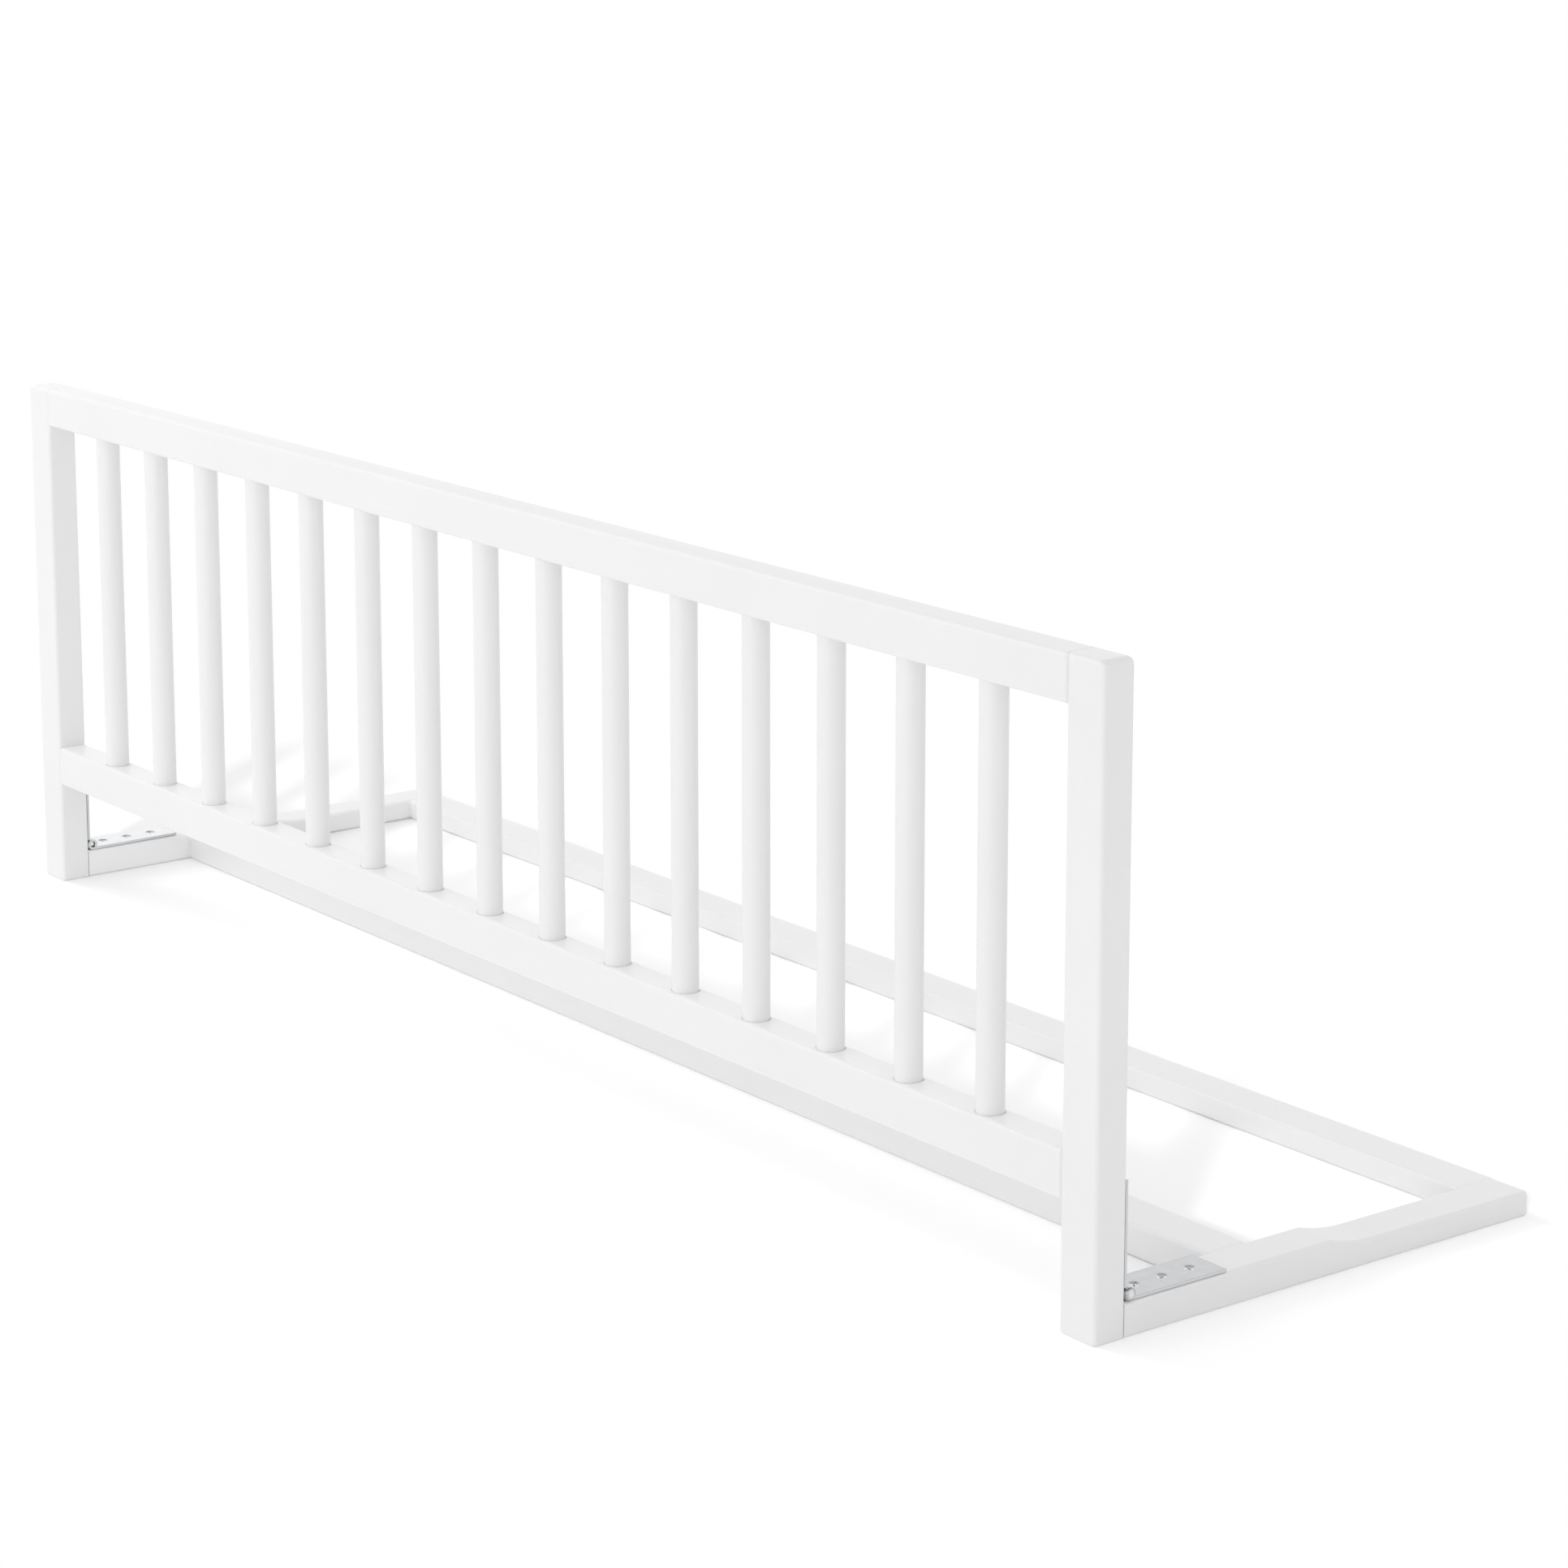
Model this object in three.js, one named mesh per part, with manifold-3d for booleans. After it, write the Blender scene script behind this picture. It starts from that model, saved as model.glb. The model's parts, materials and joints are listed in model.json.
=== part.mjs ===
// Folding bed guard rail: an upright panel of round balusters, hinged to a flat base
// that lies under the mattress. Millimetres, +Z up, +X along the guard, +Y to the back.
// The origin is on the floor, under the middle of the whole guard.

import * as THREE from 'three';
import { mergeVertices } from 'three/addons/utils/BufferGeometryUtils.js';
import Module from 'manifold-3d';

// Whole guard
const guardLength = 1200;
const panelHeight = 376;
const baseDepth = 338;

// Upright panel
const postWidth = 29;
const topRailHeight = 28;
const bottomRailHeight = 28.5;
const bottomRailRise = 75;
const balusterCount = 15;
const balusterDiameter = 16.6;
const socketWall = 2.45;
const socketDepth = 10;

// Base frame
const sideRailHeight = 20.5;
const stepDrop = 5.3;
const frontRailSetback = 108;
const frontRailDepth = 31;
const landBehindFrontRail = 39;
const coveRun = 34;
const backRailDepth = 30;

// Rounded edges of the planed bars
const edgeRadius = 3;
const postEndRadius = 4;
const sideRailEndRadius = 3.5;

// Hinges
const leafThickness = 1.8;
const leafSideMargin = 0.5;
const baseLeafLength = 71.5;
const postLeafLength = 65;
const pinDiameter = 4;
const pinHeadDiameter = 7.6;
const pinHeadHeight = 1.7;
const screwPlaceShares = [0.22, 0.505, 0.79];
const middleKnuckleShare = 0.4;

// Countersunk screws
const screwDiameter = 3.5;
const screwHeadDiameter = 7;
const screwLength = 16;
const screwPointLength = 3;

// Dowels in the butt joints
const panelDowelDiameter = 8;
const baseDowelDiameter = 6;
const dowelInRail = 19;
const dowelChamfer = 1;
const dowelOffsetShare = 0.25;
const dowelToScrewWall = 1.5;

// Clearances
const glueLine = 0.1;
const stopGap = 0.3;
const leafSeat = 0.1;
const socketPlay = 0.2;
const endPlay = 0.3;
const screwPlay = 0.2;
const pinPlay = 0.08;
const knuckleGap = 0.3;
const overrun = 1;

// Smoothness of round shapes
const cornerSteps = 3;
const endSteps = 3;
const coveSteps = 6;
const balusterSides = 16;
const knuckleSides = 20;
const dowelSides = 8;
const screwSides = 10;
const headSteps = 4;

// Sizes that follow from the ones above
const panelThickness = balusterDiameter + 2 * socketWall;
const clearSpan = guardLength - 2 * postWidth;
const balusterPitch = clearSpan / (balusterCount + 1);
const railLength = clearSpan - 2 * glueLine;
const topRailRise = panelHeight - topRailHeight;
const thinRailHeight = sideRailHeight - stepDrop;
const sideRailLength = baseDepth - panelThickness - stopGap;
const pinRadius = pinDiameter / 2;
const knuckleRadius = pinRadius + pinPlay + leafThickness;
const leafWidth = postWidth - 2 * leafSideMargin;
const screwRadius = screwDiameter / 2;
const screwHeadRadius = screwHeadDiameter / 2;
const screwHeadHeight = screwHeadRadius - screwRadius;
const pilotRadius = screwRadius + screwPlay;
const pilotDepth = screwLength - leafThickness - leafSeat + screwPlay + endPlay;
const dowelInPost = postWidth / 2 - pilotRadius - dowelToScrewWall;
const panelFront = -baseDepth / 2;
const postCentre = (guardLength - postWidth) / 2;
const hingeSetback = panelFront + panelThickness + leafSeat + knuckleRadius;
const hingeRise = sideRailHeight + leafSeat + knuckleRadius;

const alongX = new THREE.Vector3(1, 0, 0);
const alongY = new THREE.Vector3(0, 1, 0);
const alongZ = new THREE.Vector3(0, 0, 1);

const wasm = await Module();
wasm.setup();

function toSolid(geometry) {
  const bare = geometry.clone();
  bare.deleteAttribute('normal');
  bare.deleteAttribute('uv');
  const welded = mergeVertices(bare);
  return new wasm.Manifold(new wasm.Mesh({
    numProp: 3,
    vertProperties: Float32Array.from(welded.attributes.position.array),
    triVerts: Uint32Array.from(welded.index.array),
  }));
}

function toGeometry(solid) {
  const { vertProperties, triVerts } = solid.getMesh();
  const geometry = new THREE.BufferGeometry();
  geometry.setAttribute('position', new THREE.BufferAttribute(vertProperties, 3));
  geometry.setIndex(new THREE.BufferAttribute(triVerts, 1));
  geometry.computeVertexNormals();
  return geometry;
}

// A rounded rectangle across the bar, anticlockwise as seen from the bar's far end.
function sectionPoints({ at, inset = 0, width, low, high }) {
  const right = width / 2 - inset - edgeRadius;
  const top = high - inset - edgeRadius;
  const bottom = low + inset + edgeRadius;
  const corners = [[right, top], [-right, top], [-right, bottom], [right, bottom]];
  return corners.flatMap(([y, z], quarter) => Array.from({ length: cornerSteps + 1 }, (_, step) => {
    const angle = (quarter + step / cornerSteps) * Math.PI / 2;
    return [at, y + edgeRadius * Math.cos(angle), z + edgeRadius * Math.sin(angle)];
  }));
}

// A closed bar along +X, skinned over its sections from the first to the last.
function barGeometry(sections) {
  const rings = sections.map(sectionPoints);
  const count = rings[0].length;
  const faces = [];
  for (let i = 1; i < count - 1; i += 1) {
    const last = (rings.length - 1) * count;
    faces.push([0, i + 1, i], [last, last + i, last + i + 1]);
  }
  for (let ring = 0; ring < rings.length - 1; ring += 1) {
    for (let i = 0; i < count; i += 1) {
      const near = ring * count + i;
      const beside = ring * count + (i + 1) % count;
      faces.push([near, beside, beside + count], [near, beside + count, near + count]);
    }
  }
  const geometry = new THREE.BufferGeometry();
  geometry.setAttribute('position', new THREE.Float32BufferAttribute(rings.flat(2), 3));
  geometry.setIndex(faces.flat());
  return geometry;
}

// The sections of a bar's end that is rounded by a quarter circle, from its tip inwards.
function roundedEnd(tip, inwards, radius, section) {
  return Array.from({ length: endSteps + 1 }, (_, step) => {
    const angle = step / endSteps * Math.PI / 2;
    return {
      ...section,
      at: tip + inwards * radius * (1 - Math.cos(angle)),
      inset: radius * (1 - Math.sin(angle)),
    };
  });
}

// A round hole that starts at a face and runs into the material.
function hole(face, direction, radius, depth, sides) {
  const reach = depth + overrun;
  const cutter = new THREE.CylinderGeometry(radius, radius, reach, sides);
  cutter.translate(0, reach / 2 - overrun, 0);
  cutter.applyQuaternion(new THREE.Quaternion().setFromUnitVectors(alongY, direction));
  cutter.translate(...face);
  return toSolid(cutter);
}

function drilled(geometry, holes) {
  return toGeometry(holes.reduce((solid, cutter) => solid.subtract(cutter), toSolid(geometry)));
}

// Two dowels sit side by side across the wider way of each rail's end.
function dowelOffsets(railWidth) {
  return [-dowelOffsetShare * railWidth, dowelOffsetShare * railWidth];
}

function screwPlaces(leafLength) {
  return screwPlaceShares.map((share) => share * leafLength);
}

function whiteLacquer() {
  return new THREE.MeshStandardMaterial({ color: 0xf1f1ee, roughness: 0.38, metalness: 0 });
}

function zincSteel() {
  return new THREE.MeshStandardMaterial({ color: 0xb4b6b8, roughness: 0.34, metalness: 1 });
}

function bareBeech() {
  return new THREE.MeshStandardMaterial({ color: 0xd8b687, roughness: 0.75, metalness: 0 });
}

function piece(name, geometry, material) {
  const mesh = new THREE.Mesh(geometry, material);
  mesh.name = name;
  return mesh;
}

// A post lies along +X here, foot at zero, with its back face up. Its inner face, which takes
// the rails' dowels, looks to +Y on the left post and to -Y on the right one.
function postGeometry(side) {
  const section = { width: postWidth, low: -panelThickness / 2, high: panelThickness / 2 };
  const post = barGeometry([
    ...roundedEnd(0, 1, postEndRadius, section),
    ...roundedEnd(panelHeight, -1, postEndRadius, section).reverse(),
  ]);
  const inner = -side;
  const inwards = alongY.clone().multiplyScalar(-inner);
  const rails = [[bottomRailRise, bottomRailHeight], [topRailRise, topRailHeight]];
  const dowelHoles = rails.flatMap(([rise, height]) => dowelOffsets(height).map((offset) => hole(
    [rise + height / 2 + offset, inner * postWidth / 2, 0],
    inwards,
    panelDowelDiameter / 2 + socketPlay,
    dowelInPost + endPlay,
    dowelSides,
  )));
  const pilotHoles = screwPlaces(postLeafLength).map((place) => hole(
    [hingeRise + place, 0, panelThickness / 2],
    alongZ.clone().negate(),
    pilotRadius,
    pilotDepth,
    screwSides,
  ));
  return drilled(post, [...dowelHoles, ...pilotHoles]);
}

// A panel rail lies along X, centred, with a socket for each baluster in one face.
function panelRailGeometry(height, socketSide) {
  const section = { width: panelThickness, low: -height / 2, high: height / 2 };
  const rail = barGeometry([
    { ...section, at: -railLength / 2 },
    { ...section, at: railLength / 2 },
  ]);
  const intoRail = alongZ.clone().multiplyScalar(-socketSide);
  const sockets = balusterPlaces().map((x) => hole(
    [x, 0, socketSide * height / 2],
    intoRail,
    balusterDiameter / 2 + socketPlay,
    socketDepth,
    balusterSides,
  ));
  const dowelHoles = endDowelHoles(panelDowelDiameter, dowelOffsets(height).map((z) => [0, z]));
  return drilled(rail, [...sockets, ...dowelHoles]);
}

function balusterPlaces() {
  return Array.from({ length: balusterCount }, (_, i) => (i - (balusterCount - 1) / 2) * balusterPitch);
}

// The dowel holes in both ends of a rail that lies along X, centred, at the given [y, z] places.
function endDowelHoles(diameter, places) {
  return [-1, 1].flatMap((end) => places.map(([y, z]) => hole(
    [end * railLength / 2, y, z],
    alongX.clone().multiplyScalar(-end),
    diameter / 2 + socketPlay,
    dowelInRail + endPlay,
    dowelSides,
  )));
}

function balusterGeometry() {
  const radius = balusterDiameter / 2;
  const clearHeight = topRailRise - bottomRailRise - bottomRailHeight;
  const length = clearHeight + 2 * (socketDepth - endPlay);
  return new THREE.CylinderGeometry(radius, radius, length, balusterSides).rotateX(Math.PI / 2);
}

// A side rail lies along +X from its front end, underside at zero. Its inner face looks to +Y on
// the right rail and to -Y on the left one. Its top steps down to the thin rear through a cove.
function sideRailGeometry(side) {
  const full = { width: postWidth, low: 0, high: sideRailHeight };
  const thin = { width: postWidth, low: 0, high: thinRailHeight };
  const frontRailCentre = frontRailSetback + frontRailDepth / 2 - panelThickness - stopGap;
  const step = frontRailCentre + frontRailDepth / 2 + landBehindFrontRail;
  const coveRadius = (coveRun ** 2 + stepDrop ** 2) / (2 * stepDrop);
  const cove = Array.from({ length: coveSteps + 1 }, (_, i) => {
    const toFoot = coveRun * (1 - i / coveSteps);
    const climb = coveRadius - Math.sqrt(coveRadius ** 2 - toFoot ** 2);
    return { ...thin, at: step + coveRun - toFoot, high: thinRailHeight + climb };
  });
  const rail = barGeometry([
    { ...full, at: 0 },
    ...cove,
    ...roundedEnd(sideRailLength, -1, sideRailEndRadius, thin).reverse(),
  ]);
  const inwards = alongY.clone().multiplyScalar(-side);
  const backRailCentre = sideRailLength - backRailDepth / 2;
  const joints = [
    [frontRailCentre, frontRailDepth, sideRailHeight],
    [backRailCentre, backRailDepth, thinRailHeight],
  ];
  const dowelHoles = joints.flatMap(([centre, depth, height]) => dowelOffsets(depth).map((offset) => hole(
    [centre + offset, side * postWidth / 2, height / 2],
    inwards,
    baseDowelDiameter / 2 + socketPlay,
    dowelInPost + endPlay,
    dowelSides,
  )));
  const toAxis = leafSeat + knuckleRadius - stopGap;
  const pilotHoles = screwPlaces(baseLeafLength).map((place) => hole(
    [toAxis + place, 0, sideRailHeight],
    alongZ.clone().negate(),
    pilotRadius,
    pilotDepth,
    screwSides,
  ));
  return drilled(rail, [...dowelHoles, ...pilotHoles]);
}

// A base cross rail lies along X, centred, with its underside at zero.
function crossRailGeometry(depth, height) {
  const section = { width: depth, low: 0, high: height };
  const rail = barGeometry([
    { ...section, at: -railLength / 2 },
    { ...section, at: railLength / 2 },
  ]);
  return drilled(rail, endDowelHoles(baseDowelDiameter, dowelOffsets(depth).map((y) => [y, height / 2])));
}

// A dowel lies along X, centred on the butt joint, with its longer part towards +X.
function dowelGeometry(diameter) {
  const radius = diameter / 2;
  const profile = [
    [0, -dowelInPost],
    [radius - dowelChamfer, -dowelInPost],
    [radius, dowelChamfer - dowelInPost],
    [radius, dowelInRail - dowelChamfer],
    [radius - dowelChamfer, dowelInRail],
    [0, dowelInRail],
  ];
  const points = profile.map(([x, y]) => new THREE.Vector2(x, y));
  return new THREE.LatheGeometry(points, dowelSides).rotateZ(-Math.PI / 2);
}

// A screw stands point down along Z, with the flat of its head at zero.
function screwGeometry() {
  const profile = [
    [0, -screwLength],
    [screwRadius, screwPointLength - screwLength],
    [screwRadius, -screwHeadHeight],
    [screwHeadRadius, 0],
    [0, 0],
  ];
  const points = profile.map(([x, y]) => new THREE.Vector2(x, y));
  return new THREE.LatheGeometry(points, screwSides).rotateX(Math.PI / 2);
}

function rollCylinder(radius, length) {
  return toSolid(new THREE.CylinderGeometry(radius, radius, length, knuckleSides).rotateZ(Math.PI / 2));
}

// A leaf is a strap rolled round the pin at one end: the pin lies on X, the strap runs to +Y
// and its seat faces down. It keeps either the middle knuckle or the two outer ones.
function leafGeometry(length, keepsMiddle) {
  const strap = new THREE.BoxGeometry(leafWidth, length, leafThickness);
  strap.translate(0, length / 2, leafThickness / 2 - knuckleRadius);
  const middle = middleKnuckleShare * leafWidth;
  const outer = (leafWidth - middle) / 2;
  const clearRadius = knuckleRadius + knuckleGap;
  const cuts = [rollCylinder(pinRadius + pinPlay, leafWidth + 2 * overrun)];
  if (keepsMiddle) {
    const outerCut = outer + knuckleGap / 2 + overrun;
    const outerCentre = leafWidth / 2 + overrun - outerCut / 2;
    for (const end of [-1, 1]) {
      cuts.push(rollCylinder(clearRadius, outerCut).translate([end * outerCentre, 0, 0]));
    }
  } else {
    cuts.push(rollCylinder(clearRadius, middle + knuckleGap));
  }
  const topFace = leafThickness - knuckleRadius;
  for (const place of screwPlaces(length)) {
    cuts.push(countersink().translate([0, place, topFace]));
  }
  const rolled = toSolid(strap).add(rollCylinder(knuckleRadius, leafWidth));
  return toGeometry(cuts.reduce((solid, cut) => solid.subtract(cut), rolled));
}

// The cone and through hole that a screw's head sits in, with the leaf's top face at zero.
function countersink() {
  const profile = [
    [0, -leafThickness - overrun],
    [pilotRadius, -leafThickness - overrun],
    [pilotRadius, -screwHeadHeight],
    [screwHeadRadius + screwPlay, 0],
    [screwHeadRadius + screwPlay, overrun],
    [0, overrun],
  ];
  const points = profile.map(([x, y]) => new THREE.Vector2(x, y));
  return toSolid(new THREE.LatheGeometry(points, screwSides).rotateX(Math.PI / 2));
}

// The pin lies along X, centred in the knuckles, with its domed head towards +X.
function pinGeometry() {
  const tail = -leafWidth / 2;
  const headSeat = leafWidth / 2 + knuckleGap;
  const headRadius = pinHeadDiameter / 2;
  const dome = Array.from({ length: headSteps }, (_, i) => {
    const angle = i / headSteps * Math.PI / 2;
    return [headRadius * Math.cos(angle), headSeat + pinHeadHeight * Math.sin(angle)];
  });
  const profile = [
    [0, tail],
    [pinRadius, tail],
    [pinRadius, headSeat],
    ...dome,
    [0, headSeat + pinHeadHeight],
  ];
  const points = profile.map(([x, y]) => new THREE.Vector2(x, y));
  return new THREE.LatheGeometry(points, knuckleSides).rotateZ(-Math.PI / 2);
}

const sides = [
  { name: 'left', side: -1 },
  { name: 'right', side: 1 },
];

function buildPanel() {
  const panel = new THREE.Group();
  panel.position.y = panelFront + panelThickness / 2;
  for (const { name, side } of sides) {
    const post = piece(`${name}_post`, postGeometry(side), whiteLacquer());
    post.quaternion.setFromRotationMatrix(new THREE.Matrix4().makeBasis(alongZ, alongX, alongY));
    post.position.x = side * postCentre;
    panel.add(post);
  }
  const rails = [
    { name: 'top_rail', rise: topRailRise, height: topRailHeight, socketSide: -1 },
    { name: 'bottom_rail', rise: bottomRailRise, height: bottomRailHeight, socketSide: 1 },
  ];
  for (const { name, rise, height, socketSide } of rails) {
    const rail = piece(name, panelRailGeometry(height, socketSide), whiteLacquer());
    rail.position.z = rise + height / 2;
    panel.add(rail);
    dowelOffsets(height).forEach((offset, i) => {
      addDowelPair(panel, `${name}_dowel_${i + 1}`, panelDowelDiameter, 0, rise + height / 2 + offset);
    });
  }
  balusterPlaces().forEach((x, i) => {
    const number = String(i + 1).padStart(2, '0');
    const baluster = piece(`baluster_${number}`, balusterGeometry(), whiteLacquer());
    baluster.position.set(x, 0, (topRailRise + bottomRailRise + bottomRailHeight) / 2);
    panel.add(baluster);
  });
  return panel;
}

// One dowel at each end of a rail, at the same place across it.
function addDowelPair(group, name, diameter, y, z) {
  for (const { name: end, side } of sides) {
    const dowel = piece(`${name}_${end}`, dowelGeometry(diameter), bareBeech());
    dowel.position.set(side * clearSpan / 2, y, z);
    dowel.rotation.z = side > 0 ? Math.PI : 0;
    group.add(dowel);
  }
}

function buildBase() {
  const base = new THREE.Group();
  base.position.y = panelFront;
  for (const { name, side } of sides) {
    const rail = piece(`${name}_side_rail`, sideRailGeometry(side), whiteLacquer());
    rail.position.set(side * postCentre, panelThickness + stopGap, 0);
    rail.rotation.z = Math.PI / 2;
    base.add(rail);
  }
  const crossRails = [
    { name: 'front_cross_rail', from: frontRailSetback, depth: frontRailDepth, height: sideRailHeight },
    { name: 'back_rail', from: baseDepth - backRailDepth, depth: backRailDepth, height: thinRailHeight },
  ];
  for (const { name, from, depth, height } of crossRails) {
    const centre = from + depth / 2;
    const rail = piece(name, crossRailGeometry(depth, height), whiteLacquer());
    rail.position.y = centre;
    base.add(rail);
    dowelOffsets(depth).forEach((offset, i) => {
      addDowelPair(base, `${name}_dowel_${i + 1}`, baseDowelDiameter, centre + offset, height / 2);
    });
  }
  return base;
}

// The hinge group's own origin is on the pin's axis, with the base leaf lying to +Y and its seat down.
function buildHinge(name, side) {
  const hinge = new THREE.Group();
  hinge.position.set(side * postCentre, hingeSetback, hingeRise);
  const flat = new THREE.Group();
  const upright = new THREE.Group();
  const backwardsX = alongX.clone().negate();
  upright.quaternion.setFromRotationMatrix(new THREE.Matrix4().makeBasis(backwardsX, alongZ, alongY));
  flat.add(piece(`${name}_hinge_base_leaf`, leafGeometry(baseLeafLength, false), zincSteel()));
  upright.add(piece(`${name}_hinge_post_leaf`, leafGeometry(postLeafLength, true), zincSteel()));
  addScrews(flat, `${name}_base_leaf_screw`, baseLeafLength);
  addScrews(upright, `${name}_post_leaf_screw`, postLeafLength);
  const pin = piece(`${name}_hinge_pin`, pinGeometry(), zincSteel());
  pin.rotation.z = side > 0 ? 0 : Math.PI;
  hinge.add(flat, upright, pin);
  return hinge;
}

function addScrews(leaf, name, leafLength) {
  screwPlaces(leafLength).forEach((place, i) => {
    const screw = piece(`${name}_${i + 1}`, screwGeometry(), zincSteel());
    screw.position.set(0, place, leafThickness - knuckleRadius - screwPlay);
    leaf.add(screw);
  });
}

const guard = new THREE.Group();
guard.add(buildPanel(), buildBase());
for (const { name, side } of sides) {
  guard.add(buildHinge(name, side));
}

export default guard;
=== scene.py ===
"""Folding bed guard rail: an upright panel of round spindles, hinged to a flat base for under the mattress.

Metres, +Z up, +X along the guard and +Y to its back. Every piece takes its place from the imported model, and
the sections below make the pieces in the order in which the real guard is put together.
"""

import json
import math

import bmesh
import bpy
import numpy as np
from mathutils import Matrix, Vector

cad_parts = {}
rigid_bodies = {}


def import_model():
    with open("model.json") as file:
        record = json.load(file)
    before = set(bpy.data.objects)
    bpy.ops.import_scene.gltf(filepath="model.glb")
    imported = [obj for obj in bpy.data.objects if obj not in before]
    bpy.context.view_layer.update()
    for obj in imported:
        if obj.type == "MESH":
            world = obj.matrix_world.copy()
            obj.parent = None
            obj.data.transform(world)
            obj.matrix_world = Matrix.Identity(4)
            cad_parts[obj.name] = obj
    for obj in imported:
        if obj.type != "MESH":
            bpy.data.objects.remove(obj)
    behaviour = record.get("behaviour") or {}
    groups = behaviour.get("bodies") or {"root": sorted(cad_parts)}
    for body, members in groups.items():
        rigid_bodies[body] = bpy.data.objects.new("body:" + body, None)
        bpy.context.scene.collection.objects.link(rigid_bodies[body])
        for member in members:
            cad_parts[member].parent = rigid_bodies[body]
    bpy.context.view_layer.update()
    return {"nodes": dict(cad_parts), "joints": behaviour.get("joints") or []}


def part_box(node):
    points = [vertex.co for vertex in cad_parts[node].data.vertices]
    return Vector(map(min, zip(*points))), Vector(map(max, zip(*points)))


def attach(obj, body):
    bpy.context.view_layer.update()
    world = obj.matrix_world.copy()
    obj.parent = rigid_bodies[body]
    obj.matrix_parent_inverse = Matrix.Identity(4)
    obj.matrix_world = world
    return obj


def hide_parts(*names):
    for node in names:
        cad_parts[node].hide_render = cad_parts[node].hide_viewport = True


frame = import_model()
mm = 0.001


# The two posts are planed bars of beech, rounded at the front edges and more so at the outer top corner, but
# left sharper behind, where the hinges lie. The glued-up panel is sanded and sprayed with satin white
# lacquer, under which the fibres just show.

edge_radius = 2.4 * mm
back_edge_radius = 1.3 * mm
post_corner_radius = 4.4 * mm
post_foot_radius = 1.2 * mm
joint_arris = 0.3 * mm
corner_steps = 12
end_steps = 10
land_share = 0.12
weld_distance = 0.001 * mm

lacquer_full = 0xF1F1F1
lacquer_thin = 0xECECEC
lacquer_ior = 1.5
satin_roughness = (0.26, 0.36)
fibre_width = 0.7 * mm
fibre_length = 45 * mm
fibre_height = 0.012 * mm
peel_width = 1.8 * mm
peel_height = 0.008 * mm
film_width = 110 * mm


def hex_colour(code):
    """An sRGB hex colour as linear red, green and blue, with an alpha of 1."""
    srgb = np.array([code >> 16, code >> 8 & 255, code & 255]) / 255
    linear = np.where(srgb <= 0.04045, srgb / 12.92, ((srgb + 0.055) / 1.055) ** 2.4)
    return (*linear.tolist(), 1.0)


def add_node(tree, kind, inputs=None, **settings):
    """Adds a shader node with its settings; an input is given a number, a colour or an output to link to."""
    added = tree.nodes.new("ShaderNode" + kind)
    for name, value in settings.items():
        setattr(added, name, value)
    for name, value in (inputs or {}).items():
        if isinstance(value, bpy.types.NodeSocket):
            tree.links.new(value, added.inputs[name])
        else:
            added.inputs[name].default_value = value
    return added


def new_material(name):
    """A material with nodes: its tree, its principled shader, and object coordinates for its patterns."""
    material = bpy.data.materials.new(name)
    material.use_nodes = True
    tree = material.node_tree
    place = add_node(tree, "TexCoord").outputs["Object"]
    return material, tree, tree.nodes["Principled BSDF"], place


def fibres_along(tree, place, axis, width, length):
    """Noise drawn out along one axis, as the fibres of wood or the lines of rolling are."""
    scale = [1 / width] * 3
    scale[axis] = 1 / length
    drawn_out = add_node(tree, "Mapping", {"Vector": place, "Scale": scale}).outputs[0]
    return add_node(tree, "TexNoise", {"Vector": drawn_out, "Scale": 1, "Detail": 3}).outputs[0]


def lacquered_beech(name, grain_axis):
    """Satin white lacquer on beech whose fibres run along one axis.

    The spray leaves a fine peel, the fibres stand up as long shallow lines that also break the gloss, and
    the film is a little thinner in some places, where the white is less full. Single fibres are too fine to
    show, so the lines are drawn as wide as the rays of beech.
    """
    material, tree, shader, place = new_material(name)
    fibres = fibres_along(tree, place, grain_axis, fibre_width, fibre_length)
    peel = add_node(tree, "TexNoise", {"Vector": place, "Scale": 1 / peel_width, "Detail": 1}).outputs[0]
    film = add_node(tree, "TexNoise", {"Vector": place, "Scale": 1 / film_width, "Detail": 2}).outputs[0]
    colour = add_node(tree, "Mix", {0: film, 6: hex_colour(lacquer_full), 7: hex_colour(lacquer_thin)},
                      data_type="RGBA").outputs[2]
    gloss = add_node(tree, "MapRange", {"Value": fibres, "To Min": satin_roughness[0],
                                        "To Max": satin_roughness[1]}).outputs[0]
    raised = add_node(tree, "Bump", {"Height": fibres, "Distance": fibre_height}).outputs[0]
    sprayed = add_node(tree, "Bump", {"Height": peel, "Distance": peel_height, "Normal": raised}).outputs[0]
    for socket, value in {"Base Color": colour, "Roughness": gloss, "Normal": sprayed}.items():
        tree.links.new(value, shader.inputs[socket])
    shader.inputs["IOR"].default_value = lacquer_ior
    return material


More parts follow.
